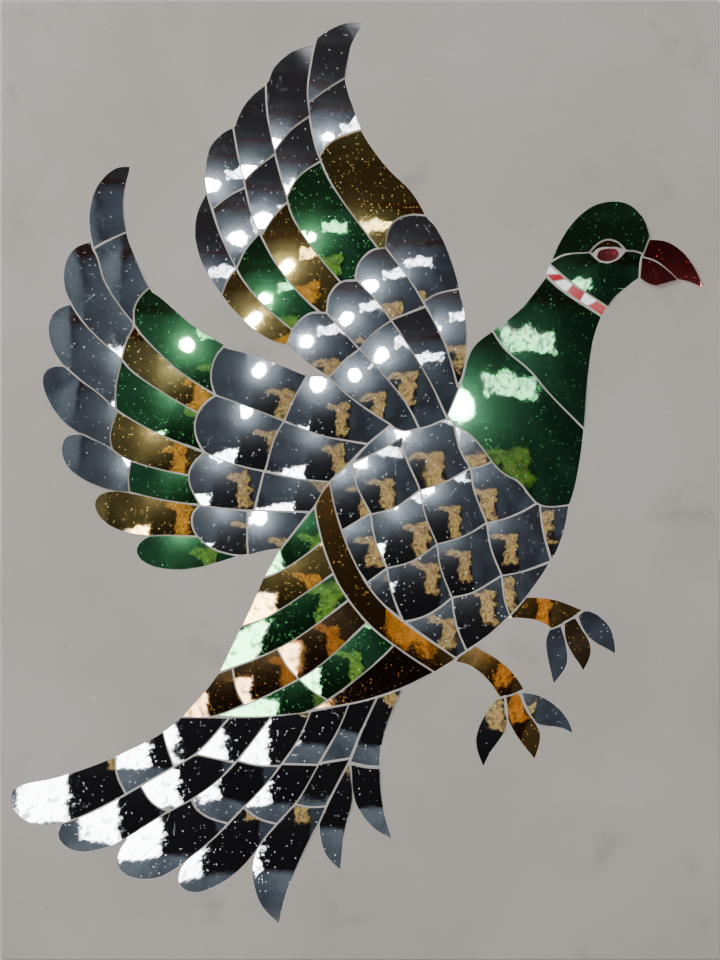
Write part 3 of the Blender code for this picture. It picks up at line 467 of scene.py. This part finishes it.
# The neck and head: large pieces of deep green mirror glass, a collar of small bits of
# white and red glass that aren't silvered, an almond eye under a brown lid, and a hooked red
# beak in two halves.
CROWN_WAY, EYE_WAY, BEAK_WAY = (0.0, 0.19), (-0.066, 0.038), (0.0, 0.14)
collar_glass, collar_shader, collar_paint = new_material("collar_glass")
collar_tone = collar_paint.node("ShaderNodeAttribute", {"attribute_name": "tone"}, out=2)
collar_cloud = collar_paint.node("ShaderNodeTexNoise", {}, {
    "Vector": collar_paint.node("ShaderNodeTexCoord", out=3), "Scale": 300.0})
plug(collar_shader, roughness=0.05 + collar_cloud * 0.1,
     coat_weight=1.0 - collar_tone * 0.96,
     base_color=(collar_tone + (collar_cloud - 0.5) * 0.1).between(0.1, 0.9).blend(
         (0.95, 0.93, 0.92, 1.0), (0.50, 0.006, 0.008, 1.0)))
collar_shader.inputs["Coat Roughness"].default_value = 0.06
collar_shader.inputs["Coat IOR"].default_value = 2.2
deep_green_glass = mirror_glass("deep_green_glass", (0.075, 0.38, 0.12), worn=0.015,
                                clear=0.58, pitted=0.00008)
for node in ("chest", "neck", "cheek"):
    set_glass(node, deep_green_glass)
set_glass("crown", deep_green_glass, CROWN_WAY)
set_glass("collar", collar_glass, WINDOW_WAY, SMALL_CUT_CLOSE, (0.0, 1.0))
set_glass("eyelid", brown_glass, CROWN_WAY)
set_glass("eye", red_glass, EYE_WAY)
set_glass("beak", red_glass, BEAK_WAY)


# The legs and toes: two curved legs of orange mirror glass, and on each foot two silver
# outer toes and an orange or brown middle one, bedded in the plaster.
RIGHT_WAY, FAR_RIGHT_WAY = (0.085, -0.02), (0.125, -0.02)
for node, toe_glass in (("leg_1", orange_glass), ("leg_2", orange_glass),
                        ("toe_2_middle", orange_glass), ("toe_2_back", silver_glass)):
    set_glass(node, toe_glass)
set_glass("toe_2_front", silver_glass, RIGHT_WAY)
set_glass("toe_1_middle", brown_glass, FAR_RIGHT_WAY)
for node in ("toe_1_back", "toe_1_front"):
    set_glass(node, silver_glass, FAR_RIGHT_WAY)


# The plaster: fine lime plaster, a bed on the board and a face coat wiped up round the
# glass, so that a thin pale line shows between the pieces and a soft lip holds each edge; the
# lip's rounded faces are painted paler, a painted highlight where the lip catches the light.
COAT = 0.0022                    # depth of the face coat, a little more than the glass
LIP = 0.00013                    # rounding where the plaster meets the glass
OUTER_ROUNDING = 0.0012          # of the panel's front edge
CORNER_ROUNDING = 0.0025         # of its four corners
LAP = 0.0001                     # the coat goes this far into the bed
BED_RIM = 0.0004                 # the bed is hollow for the coat inside a rim of this width
SLOPING, FLAT = 0.98, 0.999      # less of a face's normal to the front than this, or more
panel_low, panel_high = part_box("plaster_ground")
for curve in outline_curves:
    bpy.context.scene.collection.objects.link(curve)
bpy.ops.mesh.primitive_plane_add(size=1.0)
border = bpy.context.object
coat_inset = 2 * (OUTER_ROUNDING - LAP)
border.data.transform(Matrix.Diagonal((panel_high.x - panel_low.x - coat_inset,
                                       panel_high.z - panel_low.z - coat_inset, 1.0, 1.0)))
edit(bpy.ops.mesh.select_all, action="SELECT")
edit(bpy.ops.mesh.bevel, offset=CORNER_ROUNDING - OUTER_ROUNDING, segments=4,
     affect="VERTICES")
object_mode()
bpy.ops.object.convert(target="CURVE")
border = bpy.context.object
pick(border, *outline_curves)
bpy.ops.object.join()
coat = bpy.context.object
coat.name = "plaster"
coat.data.dimensions = "2D"
coat.data.fill_mode = "BOTH"
coat.data.extrude = COAT / 2 - LIP
coat.data.bevel_depth = LIP
coat.data.bevel_resolution = 1
bpy.ops.object.convert(target="MESH")
coat = bpy.context.object
coat.data.transform(Matrix.Translation((0.0, panel_low.y + COAT / 2, 0.0))
                    @ STAND_UP)
edit(bpy.ops.mesh.select_all, action="SELECT")
edit(bpy.ops.mesh.remove_doubles, threshold=MERGE)
edit(bpy.ops.mesh.normals_make_consistent, inside=False)
object_mode()

plaster_material, plaster_shader, plaster_paint = new_material("pale_plaster")
plaster_place = plaster_paint.node("ShaderNodeTexCoord", out=3)
cloud = plaster_paint.node("ShaderNodeTexNoise", {}, {"Vector": plaster_place, "Scale": 9.0,
                                                      "Detail": 4.0, "Roughness": 0.55})
grit = plaster_paint.node("ShaderNodeTexNoise", {}, {"Vector": plaster_place, "Scale": 900.0,
                                                     "Detail": 3.0})
trowel = plaster_paint.node("ShaderNodeTexNoise", {}, {"Vector": plaster_place, "Scale": 22.0,
                                                       "Detail": 2.0})
smudge = plaster_paint.node("ShaderNodeTexNoise", {}, {"Vector": plaster_place, "Scale": 30.0,
                                                       "Detail": 5.0, "Distortion": 0.3})
fleck = plaster_paint.node("ShaderNodeTexVoronoi", {}, {"Vector": plaster_place, "Scale": 60.0})
flecks = (fleck.also(1).between(0.68, 0.80) * 0.07 - fleck).between(0.0, 0.04)
mottled = (cloud * 0.8 + grit * 0.2).between(0.3, 0.7).blend((0.405, 0.376, 0.342, 1.0),
                                                             (0.475, 0.447, 0.414, 1.0))
stained = smudge.between(0.60, 0.78).blend(mottled, (0.36, 0.335, 0.305, 1.0))
# The lip's rounded faces are painted paler: a painted highlight along every edge of the glass and
# the panel.
lip_highlight = plaster_paint.node("ShaderNodeAttribute", {"attribute_name": "lip"}, out=2)
lip_highlighted = (lip_highlight * 0.9).blend(stained, (0.80, 0.78, 0.745, 1.0))
plaster_relief = trowel * 0.0006 + smudge * 0.00006 + grit * 0.00003
plug(plaster_shader, base_color=flecks.blend(lip_highlighted, (0.54, 0.52, 0.49, 1.0)),
     roughness=0.70 + grit * 0.15 + smudge * 0.1,
     normal=plaster_paint.node("ShaderNodeBump", {}, {"Strength": 1.0, "Distance": 1.0,
                                                      "Height": plaster_relief}))
coat.data.materials.clear()
coat.data.materials.append(plaster_material)

# Marks the lip's rounded front faces, which carry the painted highlight.
lip_marks = coat.data.attributes.new("lip", "FLOAT", "FACE")
for face, mark in zip(coat.data.polygons, lip_marks.data):
    mark.value = float(face.center.y < panel_low.y + LIP and abs(face.normal.y) < SLOPING)

bpy.ops.mesh.primitive_cube_add(size=1.0)
bed = bpy.context.object
bed.data.transform(Matrix.Translation((panel_low + panel_high) / 2)
                   @ Matrix.Diagonal((*(panel_high - panel_low), 1.0)))
edit(bpy.ops.mesh.select_mode, type="EDGE")
edit(bpy.ops.mesh.select_all, action="DESELECT")
object_mode()
for side in bed.data.edges:
    one, other = (bed.data.vertices[index].co for index in side.vertices)
    side.select = abs(one.y - other.y) > LEVEL
edit(bpy.ops.mesh.bevel, offset=CORNER_ROUNDING, segments=6)
edit(bpy.ops.mesh.select_all, action="DESELECT")
object_mode()
for side in bed.data.edges:
    side.select = all(bed.data.vertices[index].co.y < panel_low.y + LEVEL
                      for index in side.vertices)
edit(bpy.ops.mesh.bevel, offset=OUTER_ROUNDING, segments=4)
edit(bpy.ops.mesh.select_mode, type="FACE")
edit(bpy.ops.mesh.select_all, action="DESELECT")
object_mode()
front = min(bed.data.polygons, key=lambda face: face.center.y - face.area)
front.select = True
edit(bpy.ops.mesh.inset, thickness=BED_RIM)
edit(bpy.ops.transform.translate, value=(0.0, COAT - LAP, 0.0))
object_mode()
bed.data.materials.append(plaster_material)
pick(coat, bed)
bpy.ops.object.join()
plaster = bpy.context.object
plaster.name = plaster.data.name = "plaster"
bpy.ops.object.shade_smooth_by_angle(angle=SMOOTH_BELOW)
for face in plaster.data.polygons:
    if abs(face.normal.y) > FLAT:
        face.use_smooth = False
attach(plaster, "root")
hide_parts("plaster_ground")


# The studio: a plain pale floor under the panel, a soft key light from the upper left with
# a weaker fill, and plain pale surroundings. Only the glass shows anything else: the lamp,
# the window and the darker patches round them, which are drawn by direction.
FLOOR_SIDE = 30.0
KEY, FILL = (-1.65, -1.1, 1.3), (1.7, -1.4, 0.6)
bpy.ops.mesh.primitive_plane_add(size=FLOOR_SIDE, location=(0.0, 0.0, panel_low.z))
floor = bpy.context.object
floor.name = "floor"
floor_material, floor_shader, _ = new_material("pale_floor")
floor_shader.inputs["Base Color"].default_value = (0.72, 0.71, 0.69, 1.0)
floor_shader.inputs["Roughness"].default_value = 0.8
floor.data.materials.append(floor_material)
floor.visible_glossy = False


def soft_light(name, place, side, radiance):
    """A flat square light of this brightness, turned to the middle of the panel."""
    lamp = bpy.data.lights.new(name, "AREA")
    lamp.shape, lamp.size, lamp.size_y = "RECTANGLE", side, side
    lamp.energy = radiance * math.pi * side * side
    light = bpy.data.objects.new(name, lamp)
    bpy.context.scene.collection.objects.link(light)
    light.location = place
    light.rotation_mode = "QUATERNION"
    light.rotation_quaternion = (-Vector(place)).to_track_quat("-Z", "Y")
    light.visible_camera = False


soft_light("key", KEY, side=1.2, radiance=9.4)
soft_light("fill", FILL, side=1.0, radiance=0.35)

world = bpy.data.worlds.new("studio")
bpy.context.scene.world = world
world.use_nodes = True
around = Shade(world.node_tree)
way = around.node("ShaderNodeTexCoord", out=0)
split = around.node("ShaderNodeSeparateXYZ", {}, {0: way})
ahead = around.math("MAXIMUM", split.also(1) * -1.0, 0.05)
right = around.math("DIVIDE", split, ahead)
up = around.math("DIVIDE", split.also(2), ahead)
fine = around.node("ShaderNodeTexNoise", {}, {"Vector": way, "Scale": 230.0, "Detail": 3.0})
ragged = around.node("ShaderNodeTexNoise", {}, {"Vector": way, "Scale": 70.0, "Detail": 4.0,
                                                "Roughness": 0.6})
broad = around.node("ShaderNodeTexNoise", {}, {"Vector": way, "Scale": 14.0, "Detail": 2.0})
soft = around.node("ShaderNodeTexNoise", {}, {"Vector": way, "Scale": 5.0, "Detail": 1.0})
rough = (ragged - 0.5) * 0.03
uneven = (broad - 0.5) * 0.05
right_rough = right + rough
up_rough = up + rough


def patch(centre, half, soft_edge, across=right_rough, upward=up_rough):
    """1 inside a rectangle of directions and 0 outside it."""
    sides = []
    for along, middle, reach in ((across, centre[0], half[0]), (upward, centre[1], half[1])):
        off = around.math("ABSOLUTE", along - middle)
        sides.append(off.between(reach + soft_edge, reach - soft_edge))
    return sides[0] * sides[1]


def strongest(*masks):
    """The highest of some masks."""
    most = masks[0]
    for mask in masks[1:]:
        most = around.math("MAXIMUM", most, mask)
    return most


# Slate blue above, at the right and low on the left, and nearly black between them.
slate_side = strongest((up + (broad - 0.5) * 0.06).between(0.0, 0.03),
                       (right + (ragged - 0.5) * 0.01).between(0.055, 0.060),
                       (right + uneven).between(-0.030, -0.055)
                       * (up + uneven).between(-0.055, -0.035))
slate = broad.between(0.35, 0.65).blend((0.054, 0.064, 0.080, 1.0), (0.027, 0.030, 0.036, 1.0))
colour = slate_side.blend((0.009, 0.008, 0.009, 1.0), slate)
# Darker again higher up, with a dull red band, and paler far left and far down.
colour = up.between(0.09, 0.16).blend(colour, (0.026, 0.023, 0.025, 1.0))
colour = patch((0.0, 0.125), (0.2, 0.008), 0.004, right).blend(colour, (0.028, 0.012, 0.012, 1.0))
pale_side = strongest(right.between(-0.138, -0.150), up.between(-0.160, -0.175))
pale = broad.between(0.3, 0.7).blend((0.05, 0.06, 0.075, 1.0), (0.14, 0.165, 0.19, 1.0))
colour = pale_side.blend(colour, pale)
# The ochre patch, an upright and a bar across its top.
ochre = fine.between(0.42, 0.62).blend(
    ragged.between(0.4, 0.6).blend((0.62, 0.45, 0.11, 1.0), (0.66, 0.38, 0.16, 1.0)),
    (0.15, 0.10, 0.05, 1.0))
colour = strongest(patch((0.038, -0.025), (0.015, 0.036), 0.0015),
                   patch((0.020, 0.005), (0.020, 0.006), 0.0015)).blend(colour, ochre)
# The window, broken up by what is in front of it, and a bright patch low on the left.
pane = fine.between(0.50, 0.57).blend((8.0, 8.2, 8.4, 1.0), (0.28, 0.33, 0.38, 1.0))
colour = patch(WINDOW_WAY, (0.030, 0.012), 0.0015).blend(colour, pane)
low_light = ragged.between(0.52, 0.66).blend((14.0, 14.1, 14.2, 1.0), (1.5, 1.6, 1.7, 1.0))
colour = patch((-0.0965, -0.1035), (0.0485, 0.0615), 0.003,
               right_rough + (ragged - 0.5) * 0.02, up_rough + uneven).blend(colour, low_light)
# The lamp and the glow round it.
LAMP_RADIUS, LAMP_CORE = 0.0165, 0.0120
GLOW_FALL = 52.0
lamp_right, lamp_up = right - LAMP_WAY[0], up - LAMP_WAY[1]
lamp_off = around.math("SQRT", lamp_right * lamp_right + lamp_up * lamp_up)
glow = around.math("EXPONENT", lamp_off * -GLOW_FALL)
colour = glow.blend(colour, (1.8, 2.05, 2.25, 1.0))
colour = lamp_off.between(LAMP_RADIUS, LAMP_CORE).blend(colour, (80.0, 82.0, 84.0, 1.0))
# Well aside of straight ahead, soft bright patches over a paler floor.
NEAR_AHEAD, FAR_ASIDE = 0.22, 0.35
aside = strongest(around.math("ABSOLUTE", right).between(NEAR_AHEAD, FAR_ASIDE),
                  around.math("ABSOLUTE", up).between(NEAR_AHEAD, FAR_ASIDE))
dim = split.also(2).between(-0.3, 0.1).blend((0.34, 0.335, 0.32, 1.0),
                                             (0.055, 0.065, 0.080, 1.0))
colour = aside.blend(colour, soft.between(0.48, 0.60).blend(dim, (0.95, 0.96, 0.97, 1.0)))
# What the camera sees, what lights the panel, and what the glass shows.
to_camera = around.node("ShaderNodeLightPath", out=0)
plain = to_camera.blend((0.70, 0.70, 0.69, 1.0), (0.95, 0.95, 0.94, 1.0))
view = to_camera.also(3).blend(plain, colour)
world.node_tree.links.new(view.socket, world.node_tree.nodes["Background"].inputs["Color"])

# The camera: straight in front, with the panel's height filling the picture.
SENSOR = 36.0
camera_data = bpy.data.cameras.new("camera")
camera = bpy.data.objects.new("camera", camera_data)
bpy.context.scene.collection.objects.link(camera)
camera.location = EYE
camera.rotation_euler = (math.pi / 2, 0.0, 0.0)
camera_data.sensor_width = SENSOR
camera_data.lens = SENSOR * (GROUND_FACE - EYE.y) / (panel_high.z - panel_low.z)
bpy.context.scene.camera = camera
